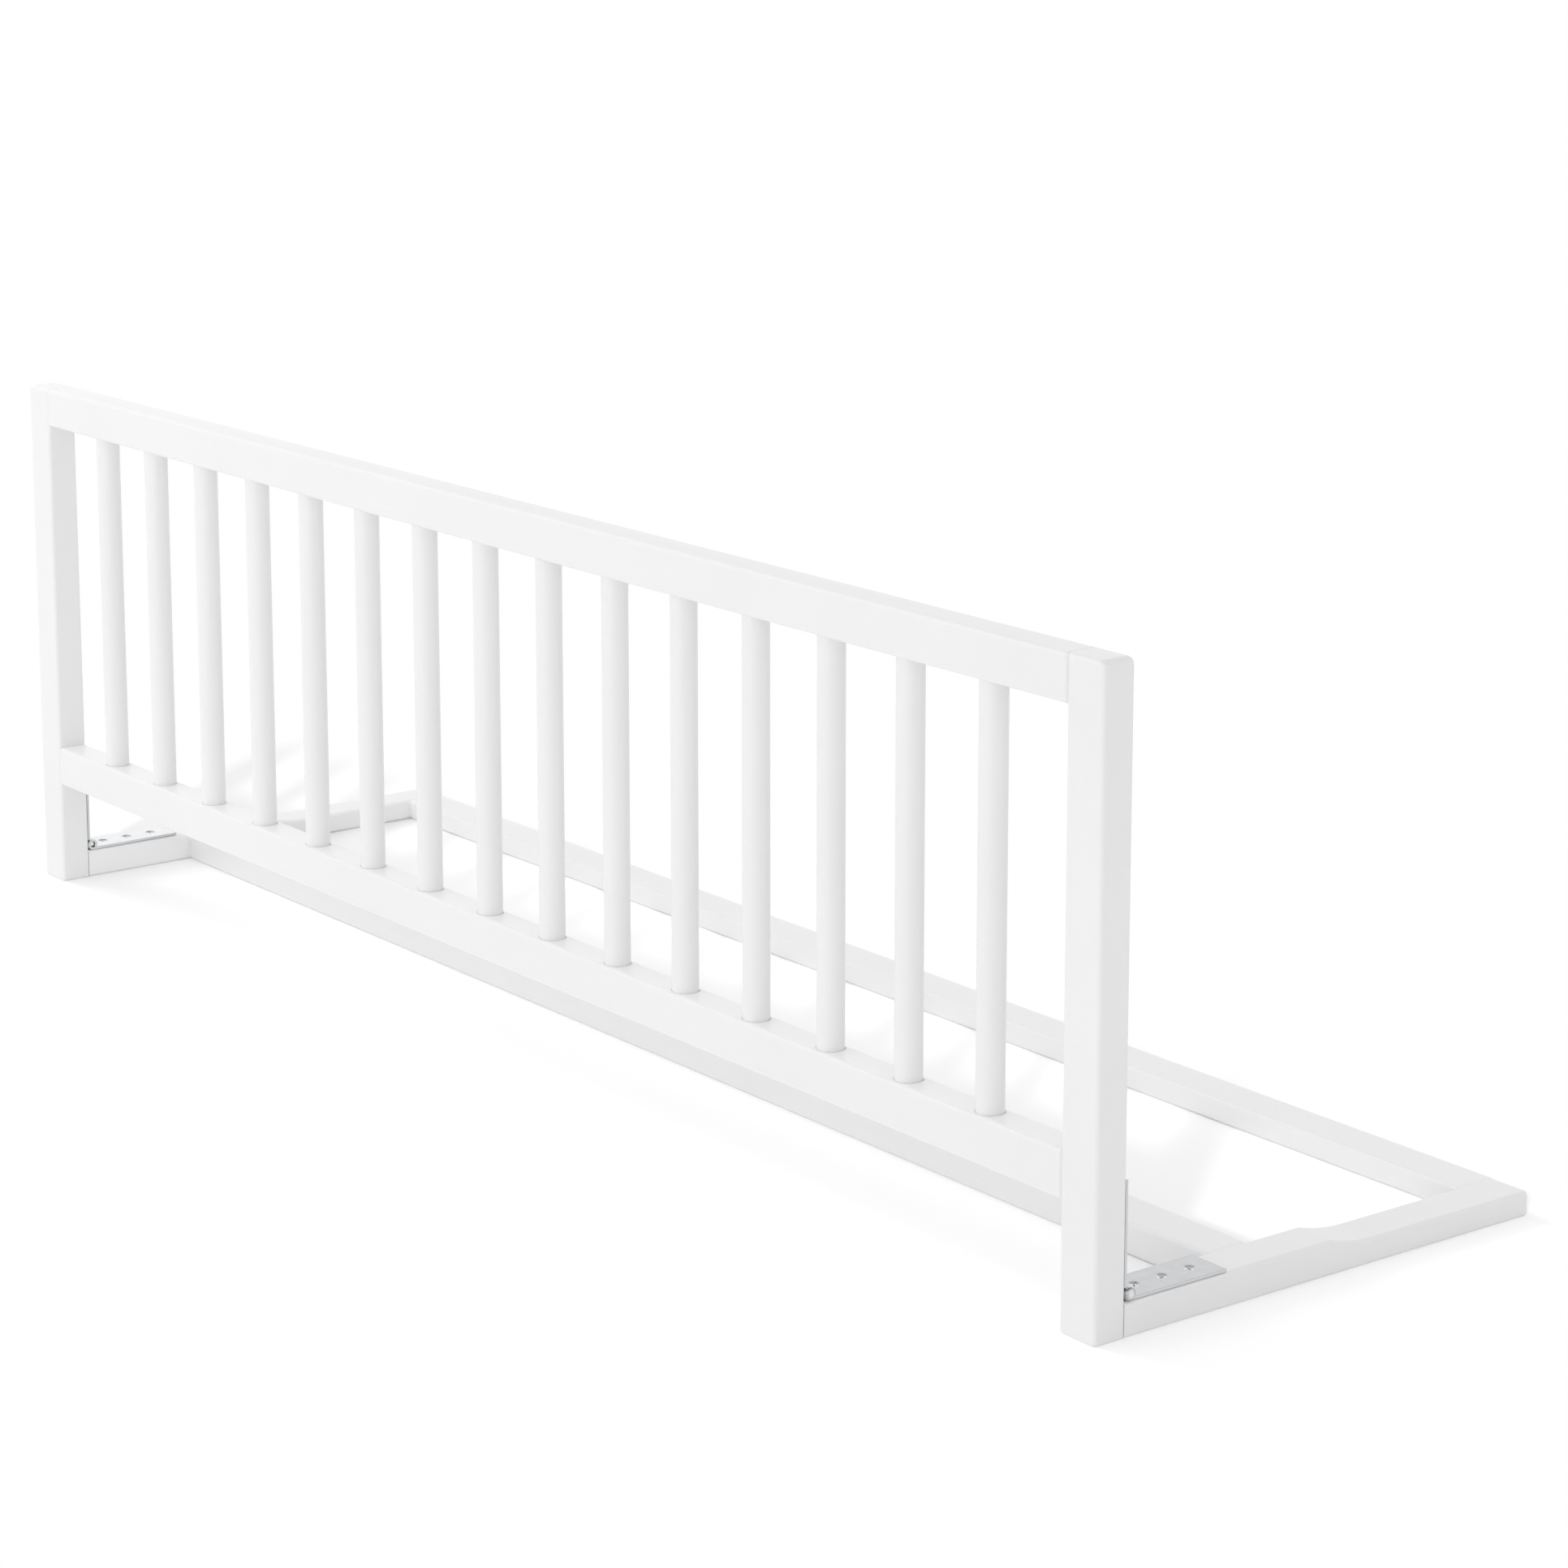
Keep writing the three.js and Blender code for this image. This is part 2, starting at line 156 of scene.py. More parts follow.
def section(low, high, radius, lanes=0):
    """Rounded rectangles across a bar, as (place along the bar, point, 2), from their low and high corners.

    Each corner is a quarter circle about a centre that is set in by the radius, or by its own of four, with
    a point just before and just after it on the flats, so that these shade as flats. Lanes are further
    points on each flat.
    """
    turn = np.linspace(0, np.pi / 2, corner_steps + 1)
    arc = np.column_stack([np.cos(turn), np.sin(turn)])
    corner = np.vstack([[1, -land_share], arc, [-land_share, 1]])
    quarter_turn = np.array([[0, 1], [-1, 0]])
    corners = np.stack([corner @ np.linalg.matrix_power(quarter_turn, i) for i in range(4)])
    (left, bottom), (right, top) = low.T, high.T
    sharp = np.stack([[right, top], [left, top], [left, bottom], [right, bottom]]).transpose(2, 0, 1)
    inwards = np.array([[-1, -1], [1, -1], [1, 1], [-1, 1]])
    radii = np.broadcast_to(radius, 4)[:, None]
    arcs = (sharp + radii * inwards)[:, :, None] + radii[:, None] * corners
    share = np.arange(1, lanes + 1)[:, None] / (lanes + 1)
    ends = arcs[:, :, -1:]
    flats = ends + share * (np.roll(arcs, -1, axis=1)[:, :, :1] - ends)
    return np.concatenate([arcs, flats], axis=2).reshape(len(low), -1, 2)


def carry(outlines, axis, places):
    """Outlines across a path, as (place, point, 2), carried to their places along one axis of the object."""
    return np.insert(outlines, axis, np.asarray(places)[:, None], axis=2)


def rounded_end(tip, inwards, radius):
    """Places along a bar's rounded end, and how far the section is set in at each of them.

    The place goes in by radius (1 - cos t) while the setting in is radius (1 - sin t), over a quarter turn.
    """
    turn = np.linspace(0, np.pi / 2, end_steps + 1)
    places = np.concatenate([[0], 1 - np.cos(turn), [1 + land_share]])
    insets = np.concatenate([[1 + land_share], 1 - np.sin(turn), [0]])
    return tip + inwards * radius * places, radius * insets


def weave(grid, closed=False):
    """Quads between the neighbours of a grid of points; a closed grid also joins each row's two ends."""
    index = np.arange(grid.shape[0] * grid.shape[1]).reshape(grid.shape[:2])
    if closed:
        index = np.hstack([index, index[:, :1]])
    quads = np.stack([index[:-1, :-1], index[:-1, 1:], index[1:, 1:], index[1:, :-1]], axis=-1)
    return grid.reshape(-1, 3), quads.reshape(-1, 4).tolist()


def flat_face(ring):
    """One flat face over a ring of points."""
    return ring, [list(range(len(ring)))]


def post(box, outward):
    """An upright bar whose top is rounded by one radius outside, another at the faces, a third by the rail.

    At a depth d under the top an edge of radius r is set in by r - sqrt(r^2 - (r - d)^2).
    """
    low, high = np.array(box)
    foot, foot_insets = rounded_end(low[2], 1, post_foot_radius)
    top, _ = rounded_end(high[2], -1, post_corner_radius)

    def set_in(radius):
        """How far a side is set in at every ring, from the foot up to a top rounded by this radius."""
        short_of = np.maximum(radius - (high[2] - top), 0)
        insets = radius - np.sqrt(radius ** 2 - short_of ** 2)
        insets[0] *= 1 + land_share
        return np.concatenate([foot_insets, insets[::-1]])

    inner, outer, faces = set_in(joint_arris), set_in(post_corner_radius), set_in(edge_radius)
    left, right = (inner, outer) if outward > 0 else (outer, inner)
    radii = [back_edge_radius, back_edge_radius, edge_radius, edge_radius]
    outlines = section(np.column_stack([low[0] + left, low[1] + faces]),
                       np.column_stack([high[0] - right, high[1] - faces]), radii)
    rings = carry(outlines, 2, np.concatenate([foot, top[::-1]]))
    return [weave(rings, closed=True), flat_face(rings[0]), flat_face(rings[-1])]


def add_object(name, surfaces, material, worked=None):
    """Welds surfaces into one mesh with its faces turned the same way, and puts it in the scene.

    A mask, where given, says for each point how much the material shows its second tone, here painted shade.
    """
    starts = np.cumsum([0] + [len(points) for points, _ in surfaces])
    points = np.concatenate([points for points, _ in surfaces])
    faces = [[start + i for i in face] for start, (_, own) in zip(starts, surfaces) for face in own]
    mesh = bpy.data.meshes.new(name)
    mesh.from_pydata(points.tolist(), [], faces)
    if worked is not None:
        mesh.attributes.new("worked", "FLOAT", "POINT").data.foreach_set("value", worked)
    shape = bmesh.new()
    shape.from_mesh(mesh)
    bmesh.ops.remove_doubles(shape, verts=shape.verts, dist=weld_distance)
    bmesh.ops.recalc_face_normals(shape, faces=shape.faces)
    shape.to_mesh(mesh)
    shape.free()
    mesh.shade_smooth()
    mesh.materials.append(material)
    added = bpy.data.objects.new(name, mesh)
    bpy.context.scene.collection.objects.link(added)
    return added


def add_piece(name, surfaces, material, body, node, worked=None):
    """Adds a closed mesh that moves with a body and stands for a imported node."""
    piece = add_object(name, surfaces, material, worked)
    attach(piece, body)
    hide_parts(node)
    return piece


lacquer_upright = lacquered_beech("satin_white_lacquer_grain_upright", 2)
lacquer_long = lacquered_beech("satin_white_lacquer_grain_along", 0)
lacquer_deep = lacquered_beech("satin_white_lacquer_grain_across", 1)

for side, outward in (("left", -1), ("right", 1)):
    node = f"{side}_post"
    add_piece(f"post_{side}", post(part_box(node), outward), lacquer_upright, "guard_panel",
              node)


# The top and bottom rail are planed bars with rounded long edges. Each has a row of round sockets for the
# spindles. Its ends are dowelled and glued between the posts, where lacquer has run into the joint and
# leaves a soft groove on the faces and a finer one on top.

rail_fill_reach = 0.8 * mm
rail_groove = np.array([1.9, 0.5]) * mm
socket_depth = 10 * mm
socket_play = 0.12 * mm
spindle_count = 15
collar_reach = 12 * mm
collar_stations = 11
collar_rings = 5
face_lanes = 9

spindle_boxes = [np.array(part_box(f"baluster_{i + 1:02}")) for i in range(spindle_count)]
spindle_centres = np.array([box.mean(axis=0)[:2] for box in spindle_boxes])
spindle_radius = np.ptp(spindle_boxes[0][:, 0]) / 2


def collar(centre, radius, stations, lanes):
    """Rings about a hole, from its circle out to the rectangle that the stations and lanes bound.

    Each point of the rectangle has its own ray to the hole's centre, and its points lie along that ray.
    """
    rectangle = np.concatenate([
        [(station, lanes[0]) for station in stations],
        [(stations[-1], lane) for lane in lanes[1:]],
        [(station, lanes[-1]) for station in stations[-2::-1]],
        [(stations[0], lane) for lane in lanes[-2:0:-1]],
    ])
    rays = rectangle - centre
    circle = centre + radius * rays / np.linalg.norm(rays, axis=1, keepdims=True)
    share = np.linspace(0, 1, collar_rings)[:, None, None]
    return circle + share * (rectangle - circle)


def filled_end(tip, inwards, reach, groove):
    """Places and settings-in along a rail's end, with the lacquer that fills the joint up to the next piece.

    With t from 0 to half a turn, the place runs to both sides of the tip by -reach cos t, and each side of
    the section is set in by its groove's depth times (1 + cos t) / 2.
    """
    turn = np.linspace(0, np.pi, end_steps + 1)
    places = np.append(-np.cos(turn), 1 + land_share)
    insets = np.append(1 + np.cos(turn), 0) / 2
    return tip + inwards * reach * places, insets[:, None] * groove


def socketed_rail(box, socket_side):
    """A bar along X whose top or bottom face has a blind socket for each spindle.

    Between the sockets its rounded section is carried along X. Beside a socket the same section is open on
    the pierced face, where a collar follows the face's height: flat, then falling with the rounded edge.
    """
    low, high = np.array(box)
    face = high[2] if socket_side > 0 else low[2]
    middle = (low[1] + high[1]) / 2
    flat_reach = (high[1] - low[1]) / 2 - edge_radius
    near, near_insets = filled_end(low[0], 1, rail_fill_reach, rail_groove)
    far, far_insets = filled_end(high[0], -1, rail_fill_reach, rail_groove)
    beside = spindle_centres[:, :1] + collar_reach * np.linspace(-1, 1, collar_stations)
    places = np.concatenate([near, beside.ravel(), far[::-1]])
    insets = np.concatenate([near_insets, np.zeros((beside.size, 2)), far_insets[::-1]])
    rings = carry(section(low[1:] + insets, high[1:] - insets, edge_radius, face_lanes), 0, places)
    to_next_corner = rings.shape[1] // 4
    first_corner = 0 if socket_side > 0 else 2
    rings = np.roll(rings, -(first_corner * to_next_corner + 1 + corner_steps // 2), axis=1)

    def raised(plan):
        """Plan points on the pierced face, lowered where they lie over its rounded edges."""
        past_flat = np.maximum(np.abs(plan[..., 1] - middle) - flat_reach, 0)
        drop = edge_radius - np.sqrt(edge_radius ** 2 - past_flat ** 2)
        return np.concatenate([plan, (face - socket_side * drop)[..., None]], axis=-1)

    starts = len(near) + collar_stations * np.arange(spindle_count)
    ends = starts + collar_stations
    surfaces = [flat_face(rings[0]), flat_face(rings[-1])]
    for start, end in zip([0, *(ends - 1)], [*(starts + 1), len(rings)]):
        surfaces.append(weave(rings[start:end], closed=True))
    for start, end, centre in zip(starts, ends, spindle_centres):
        around = rings[start:end, to_next_corner:]
        surfaces.append(weave(np.hstack([around, rings[start:end, :1]])))
        plan = collar(centre, spindle_radius + socket_play, places[start:end],
                      rings[start, :to_next_corner + 1, 1])
        surfaces.append(weave(raised(plan), closed=True))
        mouth = raised(plan[0])
        floor = mouth.copy()
        floor[:, 2] = face - socket_side * socket_depth
        surfaces += [weave(np.stack([mouth, floor]), closed=True), flat_face(floor)]
    return surfaces


for node, name, socket_side in (("top_rail", "rail_top", -1), ("bottom_rail", "rail_bottom", 1)):
    rail = socketed_rail(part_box(node), socket_side)
    add_piece(name, rail, lacquer_long, "guard_panel", node)


# The fifteen spindles are turned beech rods, sanded round and chamfered at the ends, which are glued into
# the rails' sockets. A hairline stays open round each of them where it enters.

spindle_sides = 48
spindle_chamfer = 1 * mm


def turned(profile, axis, centre, sides):
    """A profile of (place along the axis, radius) turned about that axis through a centre across it."""
    along, radius = np.array(profile).T
    angle = np.linspace(0, 2 * np.pi, sides, endpoint=False)
    circle = np.column_stack([np.cos(angle), np.sin(angle)])
    return carry(centre + radius[:, None, None] * circle, axis, along)


def spindle(box):
    """A round rod with chamfered ends, and a ring past each chamfer that keeps the rod's side straight."""
    foot, head = box[:, 2]
    end = [
        (0, 0),
        (0, spindle_radius - spindle_chamfer),
        (spindle_chamfer, spindle_radius),
        (2 * spindle_chamfer, spindle_radius),
    ]
    profile = [(foot + place, radius) for place, radius in end]
    profile += [(head - place, radius) for place, radius in end[::-1]]
    return [weave(turned(profile, 2, box.mean(axis=0)[:2], spindle_sides), closed=True)]


for i, box in enumerate(spindle_boxes):
    number = f"{i + 1:02}"
    add_piece(f"spindle_{number}", spindle(box), lacquer_upright, "guard_panel",
              f"baluster_{number}")


# The two side bars of the base are planed beech, thick in front to carry the hinges. Behind the front cross
# bar the top is routed down through a cove to the thin part that goes under the mattress.

land_behind_cross_bar = 39 * mm
cove_run = 34 * mm
cove_steps = 28
step_arris = 0.15 * mm
side_bar_end_radius = 3.5 * mm


def side_bar(box):
    """A bar along Y, full height up to the step, then a cove that meets the thin part's top at a tangent.

    With r = (run^2 + drop^2) / (2 drop), the cove's top is the thin height plus r - sqrt(r^2 - u^2), where u
    is how far it still is to the cove's foot.
    """
    low, high = np.array(box)
    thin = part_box("back_rail")[1].z
    drop = high[2] - thin
    cove_radius = (cove_run ** 2 + drop ** 2) / (2 * drop)
    to_foot = np.linspace(cove_run, 0, cove_steps + 1)
    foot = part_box("front_cross_rail")[1].y + land_behind_cross_bar + cove_run
    near, near_insets = rounded_end(low[1], 1, joint_arris)
    far, far_insets = rounded_end(high[1], -1, side_bar_end_radius)
    places = np.concatenate([near, [foot - cove_run - step_arris], foot - to_foot, far[::-1]])
    insets = np.concatenate([near_insets, [0], 0 * to_foot, far_insets[::-1]])
    cove = thin + cove_radius - np.sqrt(cove_radius ** 2 - to_foot ** 2)
    tops = np.concatenate([np.full(len(near) + 1, high[2]), cove, np.full(len(far), thin)])
    lows = np.column_stack([low[0] + insets, low[2] + insets])
    highs = np.column_stack([high[0] - insets, tops - insets])
    rings = carry(section(lows, highs, edge_radius), 1, places)
    return [weave(rings, closed=True), flat_face(rings[0]), flat_face(rings[-1])]


for side in ("left", "right"):
    node = f"{side}_side_rail"
    add_piece(f"side_bar_{side}", side_bar(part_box(node)), lacquer_deep, "base_frame", node)


# The two cross bars of the base are plain planed bars, butted and dowelled between the side bars: one
# behind the hinges at full height, and one at the very back, as thin as the side bars are there. Their
# joints are filled almost flush.

bar_fill_reach = 1.5 * mm
bar_groove = np.array([0.25, 0.25]) * mm


def cross_bar(box):
    """A bar along X with rounded long edges and filled joints: its section, set in towards both ends."""
    low, high = np.array(box)
    near, near_insets = filled_end(low[0], 1, bar_fill_reach, bar_groove)
    far, far_insets = filled_end(high[0], -1, bar_fill_reach, bar_groove)
    insets = np.concatenate([near_insets, far_insets[::-1]])
    outlines = section(low[1:] + insets, high[1:] - insets, edge_radius)
    rings = carry(outlines, 0, np.concatenate([near, far[::-1]]))
    return [weave(rings, closed=True), flat_face(rings[0]), flat_face(rings[-1])]


for node, name in (("front_cross_rail", "cross_bar_front"), ("back_rail", "cross_bar_back")):
    add_piece(name, cross_bar(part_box(node)), lacquer_long, "base_frame", node)


# Sixteen fluted dowels of bare beech pin the butt joints, two at each end of a rail. The flutes let the
# glue out, and both ends are chamfered so that the dowel finds its hole.

flute_count = 18
flute_depth = 0.25 * mm
flute_points = 6
dowel_chamfer = 1 * mm
beech_light = 0xDDBE92
beech_dark = 0xC39B6B
beech_roughness = 0.7
beech_fibre_width = 0.5 * mm
beech_fibre_length = 12 * mm


def bare_beech(name):
    """Steamed beech as it comes off the moulder: fine darker fibres along X on a pinkish tan ground."""
    material, tree, shader, place = new_material(name)
    fibres = fibres_along(tree, place, 0, beech_fibre_width, beech_fibre_length)
    colour = add_node(tree, "Mix", {0: fibres, 6: hex_colour(beech_light), 7: hex_colour(beech_dark)},
                      data_type="RGBA").outputs[2]
    rough = add_node(tree, "Bump", {"Height": fibres, "Distance": fibre_height}).outputs[0]
    tree.links.new(colour, shader.inputs["Base Color"])
    tree.links.new(rough, shader.inputs["Normal"])
    shader.inputs["Roughness"].default_value = beech_roughness
    return material


def dowel(box):
    """A rod along X whose radius dips by the flute depth times (1 - cos(flutes angle)) / 2."""
    low, high = np.array(box)
    radius = (high[2] - low[2]) / 2
    ends = [low[0], low[0], low[0] + dowel_chamfer, high[0] - dowel_chamfer, high[0], high[0]]
    radii = np.array([0, radius - dowel_chamfer, radius, radius, radius - dowel_chamfer, 0])
    angle = np.linspace(0, 2 * np.pi, flute_count * flute_points, endpoint=False)
    flutes = flute_depth * (1 - np.cos(flute_count * angle)) / 2
    reach = radii[:, None] * (1 - flutes / radius)
    outlines = np.stack([reach * np.cos(angle), reach * np.sin(angle)], axis=-1)
    return [weave(carry((low[1:] + high[1:]) / 2 + outlines, 0, ends), closed=True)]


dowel_beech = bare_beech("bare_beech_dowel")
for node in sorted(name for name in frame["nodes"] if "_dowel_" in name):
    body = "base_frame" if "cross" in node or "back" in node else "guard_panel"
    add_piece(f"fluted_{node}", dowel(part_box(node)), dowel_beech, body, node)


# The hinge leaves are stamped from bright zinc-plated steel strip. Each blank is notched, countersunk for
# three screws and rolled round the pin: the lower leaf into two outer knuckles, the upper into one between.

leaf_thickness = 1.8 * mm
leaf_length = {"base": 71.5 * mm, "post": 65 * mm}
screw_place_shares = np.array([0.22, 0.505, 0.79])
middle_knuckle_share = 0.4
knuckle_gap = 0.3 * mm
roll_turn = math.radians(318)
roll_steps = 42
outer_lanes = 5
middle_lanes = 7
hole_radius = 1.95 * mm
countersink_radius = 3.7 * mm
hole_reach = 5.5 * mm
leaf_arris = 0.35 * mm
arris_segments = 3
arris_angle = math.radians(35)

strip_finish = {"bright": 0xC3C4C6, "dull": 0xB5B7BA, "worked": 0xCBCCCE, "roughness": (0.2, 0.3)}
rolling_width = 0.35 * mm
rolling_length = 18 * mm
rolling_height = 0.002 * mm
plating_width = 7 * mm

axis_place = np.array(frame["joints"][0]["pos_m"])
leaf_width = np.ptp([corner.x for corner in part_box("left_hinge_base_leaf")])
knuckle_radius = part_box("left_hinge_base_leaf")[1].z - axis_place[2]
roll_radius = knuckle_radius - leaf_thickness / 2
lie_flat = np.eye(3)
stand_up = np.array([[-1, 0, 0], [0, 0, 1], [0, 1, 0]])


def zinc_plated_steel(name, rolling_axis, finish):
    """Bright zinc on steel: lines along the rolling, a cloudy plating, and a second tone where a mask says.

    The real lines are finer than the render can show, so they are drawn as coarse as they need to show.
    The second tone marks the leaves' cut edges, and is painted shade on pins' rims and screws' recesses.
    """
    material, tree, shader, place = new_material(name)
    lines = fibres_along(tree, place, rolling_axis, rolling_width, rolling_length)
    clouds = add_node(tree, "TexNoise", {"Vector": place, "Scale": 1 / plating_width,
                                         "Detail": 2}).outputs[0]
    plating = add_node(tree, "Mix", {0: clouds, 6: hex_colour(finish["bright"]),
                                     7: hex_colour(finish["dull"])}, data_type="RGBA").outputs[2]
    worked = add_node(tree, "Attribute", attribute_name="worked").outputs["Fac"]
    colour = add_node(tree, "Mix", {0: worked, 6: plating, 7: hex_colour(finish["worked"])},
                      data_type="RGBA").outputs[2]
    gloss = add_node(tree, "MapRange", {"Value": lines, "To Min": finish["roughness"][0],
                                        "To Max": finish["roughness"][1]}).outputs[0]
    rolled = add_node(tree, "Bump", {"Height": lines, "Distance": rolling_height}).outputs[0]
    for socket, value in {"Base Color": colour, "Roughness": gloss, "Normal": rolled}.items():
        tree.links.new(value, shader.inputs[socket])
    shader.inputs["Metallic"].default_value = 1
    return material


def leaf_blank(length, keeps_middle):
    """The flat blank in plan, with its holes once at the seat's radius and once at the countersink's.

    Its points are (across, along), and along is below zero on the tongues that will be rolled.
    """
    half_gap = knuckle_gap / 2
    split = middle_knuckle_share * leaf_width / 2 + (-half_gap if keeps_middle else half_gap)
    outer = np.linspace(split, leaf_width / 2, outer_lanes)
    inner = np.linspace(-split, split, middle_lanes)
    lanes = np.concatenate([-outer[::-1], inner[1:-1], outer])
    tongues = [inner] if keeps_middle else [outer, -outer[::-1]]
    rolled_rows = np.linspace(-roll_turn * roll_radius, 0, roll_steps + 1)
    rows = np.append(rolled_rows, knuckle_radius + knuckle_gap)
    grids = [np.stack(np.meshgrid(tongue, rows), axis=-1) for tongue in tongues]
    holes = screw_place_shares * length
    bands = zip([rows[-1], *(holes + hole_reach)], [*(holes - hole_reach), length])
    grids += [np.stack(np.meshgrid(lanes, band), axis=-1) for band in bands]
    closed = [False] * len(grids)
    pairs = [(grid, grid) for grid in grids]
    for hole in holes:
        stations = hole + hole_reach * np.linspace(-1, 1, collar_stations)
        pairs.append(tuple(collar(np.array([0, hole]), radius, lanes, stations)
                           for radius in (hole_radius, countersink_radius)))
        closed.append(True)
    return pairs, closed


def leaf_plate(length, keeps_middle):
    """The blank with its thickness, rolled: both faces, and a wall on each edge that only one quad has.

    A point that lies s past the start of the roll goes round the pin by s over the roll's middle radius,
    at the knuckle's radius less its own height in the strip.
    """
    pairs, closed = leaf_blank(length, keeps_middle)
    both = []
    quads = []
    for (seat, top), round_hole in zip(pairs, closed):
        start = sum(len(points) for points in both)
        flat = np.concatenate([seat, 0 * seat[..., :1]], axis=-1)
        quads.append(start + np.array(weave(flat, round_hole)[1]))
        both.append(np.concatenate([seat, top], axis=-1).reshape(-1, 4))
    points, where = np.unique(np.round(np.concatenate(both) / weld_distance), axis=0, return_inverse=True)
    points = points * weld_distance
    quads = where.ravel()[np.concatenate(quads)]
    edges = np.stack([quads, np.roll(quads, -1, axis=1)], axis=2).reshape(-1, 2)
    _, first, count = np.unique(np.sort(edges, axis=1), axis=0, return_index=True, return_counts=True)
    rim = edges[first[count == 1]]
    walls = np.column_stack([rim, rim[:, ::-1] + len(points)])
    faces = np.concatenate([quads, quads + len(points), walls])

    plan = np.concatenate([points[:, :2], points[:, 2:]])
    rise = np.repeat([0, leaf_thickness], len(points))
    turn = np.maximum(-plan[:, 1], 0) / roll_radius
    out = knuckle_radius - rise
    along = np.maximum(plan[:, 1], 0) - out * np.sin(turn)
    local = np.column_stack([plan[:, 0], along, -out * np.cos(turn)])
    return local, faces.tolist(), np.repeat([0.0, 1.0], [2 * len(quads), len(walls)])


def add_leaf(side, kind, lie, body, material):
    """One leaf in its place: lie turns it from flat, with its pin along X, to the way it is fixed."""
    centre = sum(corner.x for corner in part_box(f"{side}_hinge_{kind}_leaf")) / 2
    local, faces, cut = leaf_plate(leaf_length[kind], kind == "post")
    placed = axis_place + [centre, 0, 0] + local @ lie
    leaf = add_piece(f"hinge_leaf_{kind}_{side}", [(placed, faces)], material, body,
                     f"{side}_hinge_{kind}_leaf")
    leaf.data.attributes.new("worked", "FLOAT", "FACE").data.foreach_set("value", cut)
    arris = leaf.modifiers.new("arris", "BEVEL")
    arris.width = leaf_arris
    arris.segments = arris_segments
    arris.limit_method = "ANGLE"
    arris.angle_limit = arris_angle
    arris.harden_normals = True


zinc_lying = zinc_plated_steel("bright_zinc_rolled_across", 1, strip_finish)
zinc_standing = zinc_plated_steel("bright_zinc_rolled_upright", 2, strip_finish)
for side in ("left", "right"):
    add_leaf(side, "base", lie_flat, "base_frame", zinc_lying)
    add_leaf(side, "post", stand_up, "guard_panel", zinc_standing)


# Each hinge pin is drawn steel wire, upset at its outer end into a domed head and plated with the leaves.
# Its plain end is chamfered and stops a little inside the knuckle.

pin_tail_recess = 1.2 * mm
pin_radius = 2 * mm
pin_chamfer = 0.4 * mm
pin_head_rim = 0.15 * mm
dome_power = 1.4
pin_sides = 64
dome_steps = 14
# The wire's worked tone is dark: it is painted shade on the pins' rims and in the screws' recesses.
wire_finish = {"bright": 0xE6E7E8, "dull": 0xD8DADC, "worked": 0x8C8E91, "roughness": (0.12, 0.18)}


def hinge_pin(box, side):
    """A turned pin along X, with a chamfered tail, a shank and a domed head, and each point's painted shade.

    Over a quarter turn the dome's height is its full height times sin^1.4 and its radius the head's times
    cos, which is round like a ball in the middle and steep at the rim. The rim is painted darker, a painted
    dark reflection, by the square of a point's share of the head's radius.
    """
    low, high = np.array(box)
    length = high[0] - low[0]
    head_seat = leaf_width + knuckle_gap
    head_radius = (high[2] - low[2]) / 2
    dome_height = length - head_seat - pin_head_rim
    turn = np.linspace(0, np.pi / 2, dome_steps + 1)
    dome = head_seat + pin_head_rim + dome_height * np.sin(turn) ** dome_power
    profile = [
        (pin_tail_recess, 0),
        (pin_tail_recess, pin_radius - pin_chamfer),
        (pin_tail_recess + pin_chamfer, pin_radius),
        (head_seat, pin_radius),
        (head_seat, head_radius - pin_head_rim),
        *zip(dome, head_radius * np.cos(turn)),
    ]
    along, radius = np.array(profile).T
    places = low[0] + along if side == "right" else high[0] - along
    rings = turned(np.column_stack([places, radius]), 0, axis_place[1:], pin_sides)
    # Painted dark reflection: the dome is painted darker towards its rim.
    dull = np.where(along > head_seat, (radius / head_radius) ** 2, 0)
    return [weave(rings, closed=True)], np.repeat(dull, pin_sides)


zinc_drawn = zinc_plated_steel("bright_zinc_drawn", 0, wire_finish)
for side in ("left", "right"):
    node = f"{side}_hinge_pin"
    pin, dull = hinge_pin(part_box(node), side)
    add_piece(f"hinge_pin_{side}", pin, zinc_drawn, "base_frame", node, dull)


# Twelve countersunk wood screws hold the leaves, each driven by hand with its cross recess at its own
# angle, and the recess is painted darker, as painted shade. The thread is rolled on a plain shank and
# runs out at the point.

screw_length = 16 * mm
screw_thread_radius = 1.75 * mm
screw_core_radius = 1.25 * mm
screw_neck_length = 2.5 * mm
screw_point_length = 3 * mm
screw_sunk = 0.8 * mm
screw_head_radius = countersink_radius - screw_sunk
thread_pitch = 1.6 * mm
rows_per_thread = 8
thread_sharpness = 2.2
screw_sides = 96
head_rings = 26
head_rim = 0.12 * mm
recess_depth = 1.5 * mm
recess_reach = 2.0 * mm
recess_run = 1.1 * mm
recess_half_width = 0.5 * mm
recess_draft = 0.18 * mm
drive_angles = (0.2, 1.1, 0.65, 0.95, 0.4, 1.35)


